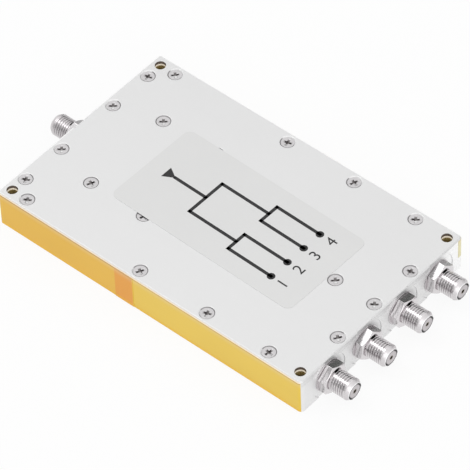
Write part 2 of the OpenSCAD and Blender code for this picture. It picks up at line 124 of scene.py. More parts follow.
# Screw recesses
RECESS_DEPTH = 0.55 * MM
RECESS_TAPER = 0.8
GLINT_WAY = Vector((0.68, -0.73))
GLINT_FROM = 0.2 * MM
GLINT_REACH = 1.2 * MM
GLINT_HEIGHT = 0.3 * MM

# Mounting holes
MOUNT_X = 48.25 * MM
MOUNT_Y = 28.67 * MM
MOUNT_R = 1.5 * MM
SEAM_DEPTH = 1.28 * MM
SEAM_HALF = 0.27 * MM

# Lap joint of the side film
LAP_START = -10.6 * MM
LAP_END = -4.6 * MM

# Stain on the far output corner, below the film
STAIN_X = 50.2 * MM
STAIN_Y = 30.95 * MM

# Print on the label, in the label's own axes
LABEL_TURN = math.radians(-1.2)
INK_THICKNESS = 0.012 * MM
LINE_WIDTH = 0.95 * MM
FEED_START = -21.5 * MM
FIRST_SPLIT = -11.0 * MM
SECOND_SPLIT = 5.0 * MM
LINES_END = 19.5 * MM
BRANCH_STEP = 6.2 * MM
NUMBER_SIZE = 4.6 * MM
NUMBER_AT = 23.5 * MM
ARROW_R = 2.2 * MM
DOT_R = 1.1 * MM


class Value:
    """A shader socket. Arithmetic on it adds Math nodes to its finish."""

    def __init__(self, finish, socket):
        self.finish = finish
        self.socket = socket

    def math(self, operation, *terms):
        return self.finish.node("ShaderNodeMath", {"operation": operation}, dict(enumerate(terms)))

    def __add__(self, other):
        return self.math("ADD", self, other)

    def __radd__(self, other):
        return self.math("ADD", other, self)

    def __sub__(self, other):
        return self.math("SUBTRACT", self, other)

    def __rsub__(self, other):
        return self.math("SUBTRACT", other, self)

    def __mul__(self, other):
        return self.math("MULTIPLY", self, other)

    def __rmul__(self, other):
        return self.math("MULTIPLY", other, self)

    def __pow__(self, other):
        return self.math("POWER", self, other)

    def __neg__(self):
        return self.math("MULTIPLY", self, -1.0)

    def __abs__(self):
        return self.math("ABSOLUTE", self)

    def larger(self, other):
        return self.math("MAXIMUM", self, other)


class Nodes:
    """A tree of shader nodes."""

    def __init__(self, owner):
        owner.use_nodes = True
        self.tree = owner.node_tree

    def node(self, kind, settings=None, inputs=None, output=0):
        """Adds a node, sets it up, then feeds its sockets, and gives one of its outputs."""
        node = self.tree.nodes.new(kind)
        for key, value in (settings or {}).items():
            setattr(node, key, value)
        for key, value in (inputs or {}).items():
            self.feed(node.inputs[key], value)
        return Value(self, node.outputs[output])

    def feed(self, socket, value):
        if isinstance(value, Value):
            self.tree.links.new(value.socket, socket)
        else:
            socket.default_value = value


class Finish(Nodes):
    """A procedural material: a principled surface, and the nodes that vary it."""

    def __init__(self, name, **constants):
        self.material = bpy.data.materials.new(name)
        super().__init__(self.material)
        self.surface = self.tree.nodes["Principled BSDF"]
        for key, value in constants.items():
            self.set(key.replace("_", " ").title().replace("Ior", "IOR"), value)
        self.place = self.node("ShaderNodeTexCoord", output="Object")

    def set(self, socket, value):
        self.feed(self.surface.inputs[socket], value)

    def axes(self):
        """The x, y and z of the place on the piece."""
        split = self.node("ShaderNodeSeparateXYZ", inputs={"Vector": self.place}).socket.node
        return [Value(self, socket) for socket in split.outputs]

    def noise(self, scale, detail=2.0, stretch=(1, 1, 1)):
        """Cloudy noise with a mean of a half; its grain is longer where stretch is small."""
        vector = self.node("ShaderNodeMapping", inputs={"Vector": self.place, "Scale": stretch})
        inputs = {"Vector": vector, "Scale": scale, "Detail": detail}
        return self.node("ShaderNodeTexNoise", inputs=inputs)

    def ramp(self, value, low, high):
        """Zero below low, one above high, and a smooth rise between them."""
        inputs = {"Value": value, "From Min": low, "From Max": high}
        return self.node("ShaderNodeMapRange", {"interpolation_type": "SMOOTHSTEP"}, inputs)

    def mix(self, factor, first, second):
        """Blends two colours."""
        inputs = {"Factor": factor, 6: first, 7: second}
        return self.node("ShaderNodeMix", {"data_type": "RGBA"}, inputs, output=2)

    def surface_of(self, factor, shader):
        """Blends the surface with another shader."""
        inputs = {0: factor, 1: Value(self, self.surface.outputs[0]), 2: shader}
        blend = self.node("ShaderNodeMixShader", inputs=inputs)
        self.feed(self.tree.nodes["Material Output"].inputs["Surface"], blend)

    def bump(self, height, distance, strength=1.0):
        inputs = {"Height": height, "Distance": distance, "Strength": strength}
        self.set("Normal", self.node("ShaderNodeBump", inputs=inputs))


def srgb(red, green, blue):
    """A colour as it is seen, from 0 to 255, as shader numbers."""
    shares = [c / 255 for c in (red, green, blue)]
    linear = [((c + 0.055) / 1.055) ** 2.4 if c > 0.04045 else c / 12.92 for c in shares]
    return (*linear, 1.0)


def painted_seat_shade(finish, x, y, z):
    """Where shade is painted: one on the far upper side of the seats, close to the connectors, fading to zero
    at their edges.

    The seat of the last output is left out.
    """
    half = PORT_PITCH / 2
    on_output = finish.ramp(x, -1 * MM, 1 * MM)
    off_y = on_output * y.math("WRAP", y - half, half, -half) + (1 - on_output) * y
    off_z = z - PORT_HEIGHT
    from_axis = (off_y * off_y + off_z * off_z) ** 0.5
    deep = 1 - finish.ramp(abs(x), SEAT_X + 0.05 * MM, SEAT_X + 0.15 * MM)
    middle = COVER_HIGH.z / 2
    inside = 1 - finish.ramp(abs(z - middle), middle - 0.30 * MM, middle - 0.22 * MM)
    far_side = finish.ramp(off_y + off_z * 0.7, 0.5 * MM, 4.0 * MM)
    in_row = 1 - finish.ramp(abs(y - SHADED_ROW_Y), SHADED_ROW_HALF, SHADED_ROW_HALF + 1.0 * MM)
    return deep * inside * far_side * in_row * (1 - finish.ramp(from_axis, SEAT_SHADE_R, SEAT_R))


def painted_step_shade(finish, x, y):
    """Where shade is painted: one on the low step round the seats of the outputs, else zero."""
    step = finish.ramp(x, SEAT_X + 0.02 * MM, SEAT_X + 0.04 * MM)
    step = step - finish.ramp(x, COVER_HIGH.x - 0.04 * MM, COVER_HIGH.x - 0.02 * MM)
    return step * (1 - finish.ramp(abs(y), MOUNT_Y, MOUNT_Y + 0.5 * MM))


def at_stain(finish, x, y, z):
    """One on the far output corner, below the film, else zero."""
    corner = finish.ramp(y, STAIN_Y, STAIN_Y + 0.08 * MM) * finish.ramp(x, STAIN_X, STAIN_X + 0.1 * MM)
    return corner * (1 - finish.ramp(z, FAR_TAPE_FOOT - 0.1 * MM, FAR_TAPE_FOOT))


def painted_rim_highlight(finish, x, y, z):
    """Where a white highlight is painted: one on the softened rim of the cover along the far side and the input
    end.
    """
    beside = finish.ramp((y - COVER_HIGH.y).larger(COVER_LOW.x - x), -RIM_EASE, -0.8 * RIM_EASE)
    return beside * finish.ramp(z, COVER_HIGH.z - 1.2 * RIM_EASE, COVER_HIGH.z - RIM_EASE)


def edge_tones(finish, plain, x, y, z):
    """The tone of the alloy, with painted highlights, painted light and painted shade on the rims, the output
    end and the seats, and a stain on the far output corner; it also gives where the surface is made non-metal:
    the painted highlights and the stain.
    """
    # Painted highlight: the rim along the far side and the input end is white.
    rim = painted_rim_highlight(finish, x, y, z)
    plain = finish.mix(rim, plain, srgb(255, 255, 255))
    # Painted shade on the upper part of the near rim.
    low_rim = 1 - finish.ramp(z, COVER_HIGH.z - 0.7 * RIM_EASE, COVER_HIGH.z - 0.1 * RIM_EASE)
    by_near = finish.ramp(-y, NEAR_WARM, NEAR_WARM + 0.2 * MM)
    plain = finish.mix(by_near * (1 - low_rim), plain, srgb(214, 213, 213))
    # Painted highlight: a warm pale strip on the near wall between the rim and the film.
    near_highlight = by_near * low_rim * finish.ramp(z, TAPE_TOP - 0.1 * MM, TAPE_TOP)
    plain = finish.mix(near_highlight, plain, srgb(255, 242, 220))
    # Painted shade on the rounded rim of the output end.
    by_output = finish.ramp(x, COVER_HIGH.x - RIM_EASE, COVER_HIGH.x - 0.7 * RIM_EASE)
    above = finish.ramp(z, COVER_HIGH.z - 1.5 * RIM_EASE, COVER_HIGH.z - RIM_EASE)
    plain = finish.mix(by_output * above, plain, srgb(222, 222, 222))
    # Painted light: the output wall beyond the last output is white.
    far_end_light = finish.ramp(y, FAR_END, FAR_END + 5 * MM) * finish.ramp(x, SEAT_X - 0.1 * MM, SEAT_X)
    plain = finish.mix(far_end_light * (1 - above), plain, srgb(255, 255, 255))
    # Painted shade on the seats, on the far upper side of the connectors.
    plain = finish.mix(painted_seat_shade(finish, x, y, z) * 0.45, plain, srgb(112, 110, 112))
    # Painted shade on the low step round the seats.
    plain = finish.mix(painted_step_shade(finish, x, y) * (1 - above) * 0.6, plain, srgb(186, 185, 186))
    stain = at_stain(finish, x, y, z)
    plain = finish.mix(stain, plain, srgb(196, 193, 176))
    return plain, rim.larger(near_highlight).larger(stain)


def blasted_alloy(name, tone):
    """Fine blasted light alloy, with painted shade in the countersinks; the mounting holes are brown inside,
    with a painted highlight at their seam that also glows.
    """
    # The emission is only the glow of the painted highlight in the mounting holes.
    finish = Finish(name, emission_strength=0.3)
    grain = finish.noise(5200, 3.0)
    cloud = finish.noise(46, 3.0)
    wipe = finish.noise(160, 2.0, (0.12, 1, 1))
    x, y, z = finish.axes()
    depth = COVER_HIGH.z - z
    below = finish.ramp(depth, 0.05 * MM, 0.09 * MM)
    off_x = abs(x) - MOUNT_X
    off_y = abs(y) - MOUNT_Y
    from_hole = (off_x * off_x + off_y * off_y) ** 0.5
    in_hole = below * (1 - finish.ramp(from_hole, MOUNT_R + CASE_EASE, MOUNT_R + CASE_EASE + 0.05 * MM))
    low, high = (srgb(tone + shift, tone + shift, tone + shift) for shift in (-4, 3))
    plain = finish.mix(grain * 0.5 + cloud * 0.3 + wipe * 0.2, low, high)
    # Painted shade on everything sunk below the cover's top inside the screw field: the countersinks round the
    # screw heads.
    within = 1 - finish.ramp(off_x.larger(off_y), 0, 0.5 * MM)
    plain = finish.mix(within * below, plain, srgb(150, 148, 149))
    plain, painted_highlight_or_stain = edge_tones(finish, plain, x, y, z)
    brown = finish.mix(grain, srgb(98, 87, 80), srgb(118, 106, 98))
    brown = finish.mix(finish.ramp(depth, SEAM_DEPTH, SEAM_DEPTH + SEAM_HALF), brown, srgb(178, 160, 108))
    # Painted highlight at the seam of each mounting hole: a pale band that also glows.
    painted_seam_highlight = 1 - finish.ramp(abs(depth - SEAM_DEPTH), SEAM_HALF, SEAM_HALF + 0.06 * MM)
    hole = finish.mix(painted_seam_highlight, brown, srgb(255, 248, 234))
    finish.set("Base Color", finish.mix(in_hole, plain, hole))
    finish.set("Emission Color", finish.mix(in_hole * painted_seam_highlight, srgb(0, 0, 0), srgb(255, 244, 224)))
    finish.set("Metallic", 0.7 * (1 - in_hole.larger(painted_highlight_or_stain)))
    finish.set("Roughness", 0.40 + grain * 0.10 + wipe * 0.04)
    finish.bump(grain, 0.004 * MM, 0.4)
    return finish.material


def painted_face_shadow(finish, off_y, off_z):
    """Where a dark shadow is painted: one at the upper far end and the lower near end of a connector's face,
    else zero.
    """
    along = off_y * FACE_WAY[0] + off_z * FACE_WAY[1]
    return finish.ramp(abs(along), FACE_END, FACE_END + 0.25 * MM)


def turned_steel(name, axis, tip, dullness):
    """Bright steel turned round an axis along X, with painted shade in the thread roots, in the mouth and along
    the hexagon's rear edge, painted dark reflections and shadows near the hexagon and on the face, a painted
    highlight on the front rim, and a dull nose.
    """
    finish = Finish(name, metallic=1.0)
    x, y, z = finish.axes()
    off_y, off_z = y - axis.y, z - axis.z
    radius = (off_y * off_y + off_z * off_z) ** 0.5
    behind = tip - abs(x)
    marks = finish.noise(24000, 2.0, (1, 0.02, 0.02))
    stain = finish.noise(700, 2.0)
    root = 1 - finish.ramp(radius, THREAD_R - THREAD_DEPTH, THREAD_R - 0.04 * MM)
    threaded = finish.ramp(behind, THREAD_FRONT, THREAD_FRONT + 0.05 * MM)
    threaded = threaded - finish.ramp(behind, THREAD_REAR, THREAD_REAR + 0.05 * MM)
    plain = finish.mix(marks * 0.6 + stain * 0.4, srgb(208, 204, 206), srgb(230, 227, 228))
    inside = 1 - finish.ramp(radius, MOUTH_R, MOUTH_R + 0.03 * MM)
    # Painted shade in the roots of the thread.
    plain = finish.mix(root * threaded * 0.4, plain, srgb(92, 88, 90))
    # Painted highlight on the front rim of the nose.
    rim = (1 - finish.ramp(behind, 0.10 * MM, 0.16 * MM)) * (1 - inside)
    plain = finish.mix(rim, plain, srgb(250, 249, 250))
    # Painted dark reflections: two dark bands on top, where the thread runs out by the hexagon.
    runout = 1 - finish.ramp(abs(abs(behind - RUNOUT_AT) - RUNOUT_GAP), 0.15 * MM, 0.19 * MM)
    top = finish.ramp(off_y, -0.5 * MM, -0.2 * MM) - finish.ramp(off_y, 1.0 * MM, 1.4 * MM)
    painted_dark_reflection = runout * top * finish.ramp(off_z, 1.5 * MM, 2.0 * MM)
    # Painted shadow crescents on the front face of the nose.
    off_face = finish.ramp(behind, 0.02 * MM, 0.05 * MM).larger(finish.ramp(radius, NOSE_R - 0.08 * MM, NOSE_R))
    ends = painted_face_shadow(finish, off_y, off_z) * (1 - off_face)
    plain = finish.mix(painted_dark_reflection.larger(ends), plain, srgb(44, 42, 42))
    # Painted shade along the upper rear edge of the hexagon.
    foot = finish.ramp(behind, HEX_REAR - 0.26 * MM, HEX_REAR - 0.16 * MM) * 0.6
    near_top = (1 - finish.ramp(off_y, -0.9 * MM, -0.4 * MM)) * finish.ramp(off_z, 1.6 * MM, 2.1 * MM)
    plain = finish.mix(foot * near_top * finish.ramp(radius, THREAD_R, RELIEF_R * 1.2), plain, srgb(88, 86, 87))
    # Painted shade inside the mouth and the bore.
    finish.set("Base Color", finish.mix(inside, plain, srgb(62, 59, 60)))
    nose = 1 - finish.ramp(behind, NOSE_REAR, THREAD_FRONT)
    finish.set("Roughness", 0.10 + marks * 0.08 + stain * 0.05 + nose * 0.28 + dullness)
    finish.bump(marks, 0.003 * MM, 0.35)
    return finish.material


def screw_steel():
    """Plain passivated steel of the cover screws, with painted shade down in the recess and a painted glint,
    marked on the mesh, in the near arm of each recess.
    """
    finish = Finish("screw_steel")
    grain = finish.noise(9000, 2.0)
    stain = finish.noise(900, 2.0)
    z = finish.axes()[2]
    depth = finish.ramp(COVER_HIGH.z - z, 0.24 * MM, 0.55 * MM)
    face = finish.mix(grain * 0.5 + stain * 0.5, srgb(198, 196, 197), srgb(224, 222, 223))
    glint = finish.node("ShaderNodeAttribute", {"attribute_name": "glint"}, output="Fac")
    # Painted shade down in the cross recess.
    face = finish.mix(depth, face, srgb(120, 116, 116))
    # Painted highlight: a white glint in the near arm of each recess.
    finish.set("Base Color", finish.mix(glint, face, srgb(255, 255, 255)))
    finish.set("Metallic", 1 - glint)
    finish.set("Roughness", 0.26 + grain * 0.14)
    finish.bump(grain, 0.004 * MM, 0.4)
    return finish.material


def silver_film():
    """Satin silver film of the label."""
    finish = Finish("silver_film", metallic=0.35)
    fleck = finish.noise(7000, 2.0)
    cloud = finish.noise(60, 2.0)
    finish.set("Base Color", finish.mix(fleck * 0.6 + cloud * 0.4, srgb(218, 218, 218), srgb(228, 228, 227)))
    finish.set("Roughness", 0.40 + fleck * 0.10)
    finish.bump(cloud, 0.02 * MM, 0.25)
    return finish.material


def black_ink():
    """Printed ink, a little thin in places."""
    finish = Finish("black_ink")
    thin = finish.noise(5200, 3.0)
    finish.set("Base Color", finish.mix(thin, srgb(20, 20, 21), srgb(40, 40, 41)))
    finish.set("Roughness", 0.42 + thin * 0.16)
    finish.bump(thin, 0.003 * MM, 0.3)
    return finish.material


def amber_film(name, colour, edge, lap_from=None, lap_to=None):
    """Clear amber film stuck on the metal; where two strips lap, the colour is deeper, and a shadow is painted
    along its top edge.
    """
    finish = Finish(name, specular_ior_level=0.3, coat_roughness=0.12, coat_ior=1.45)
    x, y, z = finish.axes()
    cloud = finish.noise(120, 2.0, (0.35, 1, 1))
    crease = finish.noise(420, 2.0, (0.05, 1, 1))
    low, high = srgb(*(c - 6 for c in colour)), srgb(*(c + 5 for c in colour))
    film = finish.mix(cloud, low, high)
    if lap_from is not None:
        lap = finish.ramp(x, lap_from, lap_from + 0.05 * MM) - finish.ramp(x, lap_to - 0.05 * MM, lap_to)
        film = finish.mix(lap, film, srgb(232, 159, 52))
    # Painted shadow: a brown line along the film's top edge, as strong as edge.
    rim = finish.ramp(z, TAPE_TOP - 0.45 * MM, TAPE_TOP - 0.10 * MM)
    upper = finish.ramp(z, TAPE_TOP - 2.0 * MM, TAPE_TOP)
    film = finish.mix(upper * 0.35, film, srgb(236, 214, 168))
    foot = 1 - finish.ramp(z, 0.3 * MM, 1.6 * MM)
    film = finish.mix(foot * 0.6, film, srgb(240, 186, 30))
    finish.set("Base Color", finish.mix(rim * edge, film, srgb(168, 122, 74)))
    finish.set("Roughness", 0.30 + cloud * 0.12)
    finish.set("Coat Weight", 0.10 + cloud * 0.15)
    finish.bump(crease, 0.02 * MM, 0.25)
    return finish.material


def waxy_insulator(name, axis):
    """Pale fluoropolymer, turned, and darker round its edge, where shade is painted."""
    finish = Finish(name)
    x, y, z = finish.axes()
    off_y, off_z = y - axis.y, z - axis.z
    radius = (off_y * off_y + off_z * off_z) ** 0.5
    rings = finish.noise(9000, 2.0, (1, 0.3, 0.3))
    plain = finish.mix(rings, srgb(184, 179, 181), srgb(204, 199, 201))
    # Painted shade round the edge of the insulator.
    ring = finish.ramp(radius, INSULATOR_EDGE + 0.04 * MM, INSULATOR_EDGE + 0.16 * MM)
    plain = finish.mix(ring * 0.6, plain, srgb(120, 116, 118))
    # Painted shadow crescents at two ends of the insulator's edge.
    edge = finish.ramp(radius, INSULATOR_EDGE, INSULATOR_EDGE + 0.1 * MM) * painted_face_shadow(finish, off_y, off_z)
    finish.set("Base Color", finish.mix(edge, plain, srgb(48, 46, 46)))
    finish.set("Roughness", 0.42 + rings * 0.12)
    finish.bump(rings, 0.003 * MM, 0.3)
    return finish.material


def plated_metal(name, dark, light, roughness):
    """Bright plated metal with slight staining."""
    finish = Finish(name, metallic=1.0)
    stain = finish.noise(2600, 3.0)
    finish.set("Base Color", finish.mix(stain, srgb(*dark), srgb(*light)))
    finish.set("Roughness", roughness + stain * 0.12)
    finish.bump(stain, 0.002 * MM, 0.3)
    return finish.material


def matt_solid(name, dark, light, scale, roughness):
    """Matt laminate or ceramic with a fine grain."""
    finish = Finish(name)
    grain = finish.noise(scale, 3.0)
    finish.set("Base Color", finish.mix(grain, srgb(*dark), srgb(*light)))
    finish.set("Roughness", roughness + grain * 0.1)
    finish.bump(grain, 0.004 * MM, 0.4)
    return finish.material


def add_piece(name, bm, material, slot, *nodes):
    """Makes a bmesh a piece of the part that stands for the named CAD nodes."""
    for face in bm.faces:
        face.smooth = True
    for edge in bm.edges:
        edge.smooth = edge.is_manifold and edge.calc_face_angle(0) < SHARP_ANGLE
    mesh = bpy.data.meshes.new(name)
    bm.to_mesh(mesh)
    bm.free()
    mesh.materials.append(material)
    piece = bpy.data.objects.new(name, mesh)
    bpy.context.scene.collection.objects.link(piece)
    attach(piece, "root")
    if nodes:
        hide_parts(*nodes)
    return piece


def weigh_normals(piece):
    """Keeps large faces flat to the eye beside their softened edges."""
    modifier = piece.modifiers.new("flat_faces", "WEIGHTED_NORMAL")
    modifier.keep_sharp = True
    return piece


def copy_of(node):
    """The closed mesh of a CAD node, with its flat faces whole."""
    bm = bmesh.new()
    bm.from_mesh(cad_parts[node].data)
    bmesh.ops.remove_doubles(bm, verts=bm.verts, dist=0.0005 * MM)
    bmesh.ops.dissolve_limit(bm, angle_limit=math.radians(0.5), verts=bm.verts, edges=bm.edges)
    return bm


def middle_of(edge):
    return (edge.verts[0].co + edge.verts[1].co) / 2


def ease_edges(bm, width, chosen=lambda edge: True, segments=2):
    """Softens those of the sharp edges that are chosen."""
    sharp = [e for e in bm.edges if e.is_manifold and e.calc_face_angle() > SHARP_ANGLE and chosen(e)]
    bmesh.ops.bevel(bm, geom=sharp, offset=width, offset_type="OFFSET", segments=segments, profile=0.5,
                    affect="EDGES", material=-1, clamp_overlap=False)


def on_rim(edge):
    """Whether an edge is on the upper outline of the cover."""
    middle = middle_of(edge)
    outside = abs(middle.x) > COVER_HIGH.x - RIM_BAND or abs(middle.y) > COVER_HIGH.y - RIM_BAND
    return outside and middle.z > COVER_HIGH.z - 0.01 * MM


def off_seat(edge):
    """Whether an edge is clear of the connectors' seats, which stay crisp."""
    middle = middle_of(edge)
    beside = abs(middle.x) > COVER_HIGH.x - RIM_BAND and abs(middle.y) < MOUNT_Y
    inside = 0.01 * MM < middle.z < COVER_HIGH.z - 0.01 * MM and abs(middle.z - COVER_LOW.z) > 0.01 * MM
    return not (beside and inside)


def add_case():
    """The base and the cover, with their sharp edges taken off."""
    base = copy_of("housing_base")
    ease_edges(base, CASE_EASE, off_seat)
    weigh_normals(add_piece("case_base", base, blasted_alloy("case_alloy", 237), "case", "housing_base"))
    cover = copy_of("top_cover")
    ease_edges(cover, RIM_EASE, on_rim, 3)
    ease_edges(cover, CASE_EASE, off_seat)
    weigh_normals(add_piece("case_cover", cover, blasted_alloy("cover_alloy", 231), "cover", "top_cover"))


def mark_glints(bm, centres):
    """Marks the near arm of each cross recess, where a glint is painted."""
    glint = bm.verts.layers.float.new("glint")
    for vert in bm.verts:
        off = min((vert.co - centre for centre in centres), key=lambda gap: gap.length)
        in_recess = abs(off.z) < GLINT_HEIGHT and off.xy.length < GLINT_REACH
        vert[glint] = 1.0 if in_recess and off.xy.dot(GLINT_WAY) > GLINT_FROM else 0.0


def add_screws():
    """The cover screws, with cross recesses that narrow downwards."""
    bm = copy_of("cover_screws")
    head_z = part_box("cover_screws")[1].z
    centres = []
    for face in list(bm.faces):
        centre = face.calc_center_median()
        if face.normal.z > 0.9 and abs(centre.z - head_z + RECESS_DEPTH) < 0.05 * MM:
            centres.append(centre)
            bmesh.ops.scale(bm, vec=(RECESS_TAPER, RECESS_TAPER, 1), verts=face.verts,
                            space=Matrix.Translation(-centre))
    on_face = [e for e in bm.edges if middle_of(e).z > head_z - 0.01 * MM]
    outer = {e for e in on_face if min(f.normal.z for f in e.link_faces) < -0.3}
    ease_edges(bm, HEAD_EASE, lambda edge: edge in outer, 3)
    ease_edges(bm, RECESS_EASE, lambda edge: middle_of(edge).z > head_z - 0.01 * MM)
    mark_glints(bm, centres)
    weigh_normals(add_piece("screw_set", bm, screw_steel(), "screws", "cover_screws"))


def port_axes(port):
    """The matrix from a connector's own axes, with +X out of the case, to the case's axes."""
    low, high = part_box(port + "_insulator")
    turn = 0 if low.x > 0 else math.pi
    axis = Vector((0, (low.y + high.y) / 2, (low.z + high.z) / 2))
    return Matrix.Translation(axis) @ Matrix.Rotation(turn, 4, "Z")


def thread_cut(x, angle):
    """Depth of the thread's groove at a place on the barrel."""
    share = (x / THREAD_PITCH - angle / (2 * math.pi)) % 1
    from_crest = abs(share - 0.5) * THREAD_PITCH
    flank = min(max((from_crest - CREST_HALF) / FLANK_RUN, 0), 1)
    fade = min(max((-THREAD_FRONT - x) / (THREAD_PITCH / 3), 0), 1)
    return THREAD_DEPTH * flank * fade


def add_barrel(bm, tip):
    """Spins the front of a connector and cuts the coupling thread into it."""
    outline = [
        (-HEX_FRONT, BORE_R), (-HEX_FRONT, RELIEF_R), (-RELIEF_FRONT, RELIEF_R),
        (-RELIEF_FRONT, RELIEF_R + 0.1 * MM), (-THREAD_REAR, THREAD_R), (-THREAD_FRONT, THREAD_R),
        (-NOSE_REAR - NOSE_EASE, THREAD_R), (-NOSE_REAR + NOSE_EASE, THREAD_R - NOSE_EASE / 2),
        (-RIM_ROUND, NOSE_R + RIM_ROUND / 2), (0, NOSE_R - RIM_ROUND),
        (0, MOUTH_R + RIM_ROUND), (-RIM_ROUND, MOUTH_R), (-MOUTH_DEPTH, MOUTH_R), (-MOUTH_DEPTH, BORE_R),
    ]
    points = [bm.verts.new((x, 0, r)) for x, r in outline]
    edges = [bm.edges.new((a, b)) for a, b in zip(points, points[1:] + points[:1])]
    rows = round((THREAD_REAR - THREAD_FRONT) / THREAD_PITCH * ROWS_PER_TURN)
    cut = bmesh.ops.subdivide_edges(bm, edges=[edges[4]], cuts=rows)
    pieces = {g for g in cut["geom"] if isinstance(g, bmesh.types.BMEdge)}
    ring = list({e for e in edges if e.is_valid} | pieces)
    ring_points = list({v for e in ring for v in e.verts})
    bmesh.ops.spin(bm, geom=ring + ring_points, cent=(0, 0, 0), axis=(1, 0, 0), dvec=(0, 0, 0),
                   angle=2 * math.pi, steps=BARREL_SIDES, use_merge=True)
    for vert in bm.verts:
        radius = vert.co.yz.length
        if vert.co.x < -THREAD_FRONT and radius > THREAD_R - 0.001 * MM:
            share = 1 - thread_cut(vert.co.x, math.atan2(vert.co.z, vert.co.y)) / radius
            vert.co.y *= share
            vert.co.z *= share
    bmesh.ops.recalc_face_normals(bm, faces=bm.faces)
    bmesh.ops.translate(bm, vec=(tip, 0, 0), verts=bm.verts)


def shaded_flat_slot(face, axis, port):
    """Which of the coupling's finishes a face has: the upper flats of a hexagon are rougher and darker, with
    painted shade.
    """
    off = face.calc_center_median() - axis
    flat = off.yz.length > THREAD_R + 0.5 * MM and face.calc_area() > FLAT_AREA and abs(face.normal.x) < 0.1
    if not flat or face.normal.z < UPPER_FLAT:
        return 0
    if port == "input":
        return 3
    if face.normal.y < 0:
        return 3 if face.normal.z > TOP_FLAT else 0
    return 1 if face.normal.y < FAR_FLAT else 2


def add_connectors():
    """The five shells: the hexagon and spigot of the model, with a threaded barrel."""
    # Darker, rougher copies of the steel: painted shade for the upper flats of the hexagons.
    painted_shade_flats = [
        plated_metal("flat_steel_dark_shade", (104, 105, 104), (134, 134, 133), 0.22),
        plated_metal("flat_steel_grey_shade", (138, 138, 137), (170, 169, 169), 0.2),
        plated_metal("flat_steel_pale_shade", (160, 158, 159), (186, 184, 185), 0.2),
    ]
    for port in PORTS:
        axes = port_axes(port)
        low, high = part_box(port + "_shell")
        tip = max(abs(low.x), abs(high.x))
        steel = turned_steel(port + "_steel", axes.translation, tip, 0.16 if port == "input" else 0.0)
        rear = copy_of(port + "_shell")
        bmesh.ops.transform(rear, matrix=axes.inverted(), verts=rear.verts)
        everything = rear.verts[:] + rear.edges[:] + rear.faces[:]
        bmesh.ops.bisect_plane(rear, geom=everything, plane_co=(tip - HEX_FRONT + 0.01 * MM, 0, 0),
                               plane_no=(1, 0, 0), clear_outer=True)
        ease_edges(rear, HEX_EASE, lambda edge: middle_of(edge).yz.length > THREAD_R)
        front = bmesh.new()
        add_barrel(front, tip)
        scratch = bpy.data.meshes.new("front")
        front.to_mesh(scratch)
        front.free()
        rear.from_mesh(scratch)
        bpy.data.meshes.remove(scratch)
        bmesh.ops.transform(rear, matrix=axes, verts=rear.verts)
        for face in rear.faces:
            face.material_index = shaded_flat_slot(face, axes.translation, port)
        coupling = add_piece(port + "_coupling", rear, steel, "shell", port + "_shell")
        for finish in painted_shade_flats:
            coupling.data.materials.append(finish)
        weigh_normals(coupling)


def add_washers():
    """The flat washers behind the hexagons."""
    bm = copy_of("seat_washers")
    ease_edges(bm, HEX_EASE)
    steel = plated_metal("washer_steel", (200, 196, 198), (226, 222, 224), 0.16)
    weigh_normals(add_piece("washer_set", bm, steel, "shell", "seat_washers"))


def label_axes():
    """The matrix from the label's own axes, on its face, to the case's axes."""
    centre = (LABEL_LOW + LABEL_HIGH) / 2
    centre.z = LABEL_HIGH.z
    return Matrix.Translation(centre) @ Matrix.Rotation(LABEL_TURN, 4, "Z")


def add_bar(bm, x0, y0, x1, y1):
    """A printed bar between two points along one axis."""
    size = (abs(x1 - x0) + LINE_WIDTH, abs(y1 - y0) + LINE_WIDTH, INK_THICKNESS)
    place = Matrix.Translation(((x0 + x1) / 2, (y0 + y1) / 2, INK_THICKNESS / 2))
    bmesh.ops.create_cube(bm, size=1.0, matrix=place @ Matrix.Diagonal((*size, 1)))


def add_disc(bm, x, y, radius, sides):
    """A printed dot, or a printed arrow head if it has three sides."""
    place = Matrix.Translation((x, y, INK_THICKNESS / 2)) @ Matrix.Rotation(-math.pi / 2, 4, "Z")
    bmesh.ops.create_cone(bm, cap_ends=True, segments=sides, radius1=radius, radius2=radius,
                          depth=INK_THICKNESS, matrix=place)


def add_number(bm, text, x, y):
    """A printed number that reads from the output end."""
    curve = bpy.data.curves.new("number", "FONT")
    curve.body = text
    curve.size = NUMBER_SIZE
    curve.align_x = "CENTER"
    curve.align_y = "CENTER"
    writing = bpy.data.objects.new("number", curve)
    bpy.context.scene.collection.objects.link(writing)
    shape = bpy.data.meshes.new_from_object(writing.evaluated_get(bpy.context.evaluated_depsgraph_get()))
    bpy.data.objects.remove(writing)
    bpy.data.curves.remove(curve)
    shape.transform(Matrix.Translation((x, y, INK_THICKNESS)) @ Matrix.Rotation(math.pi / 2, 4, "Z"))
    bm.from_mesh(shape)
    bpy.data.meshes.remove(shape)


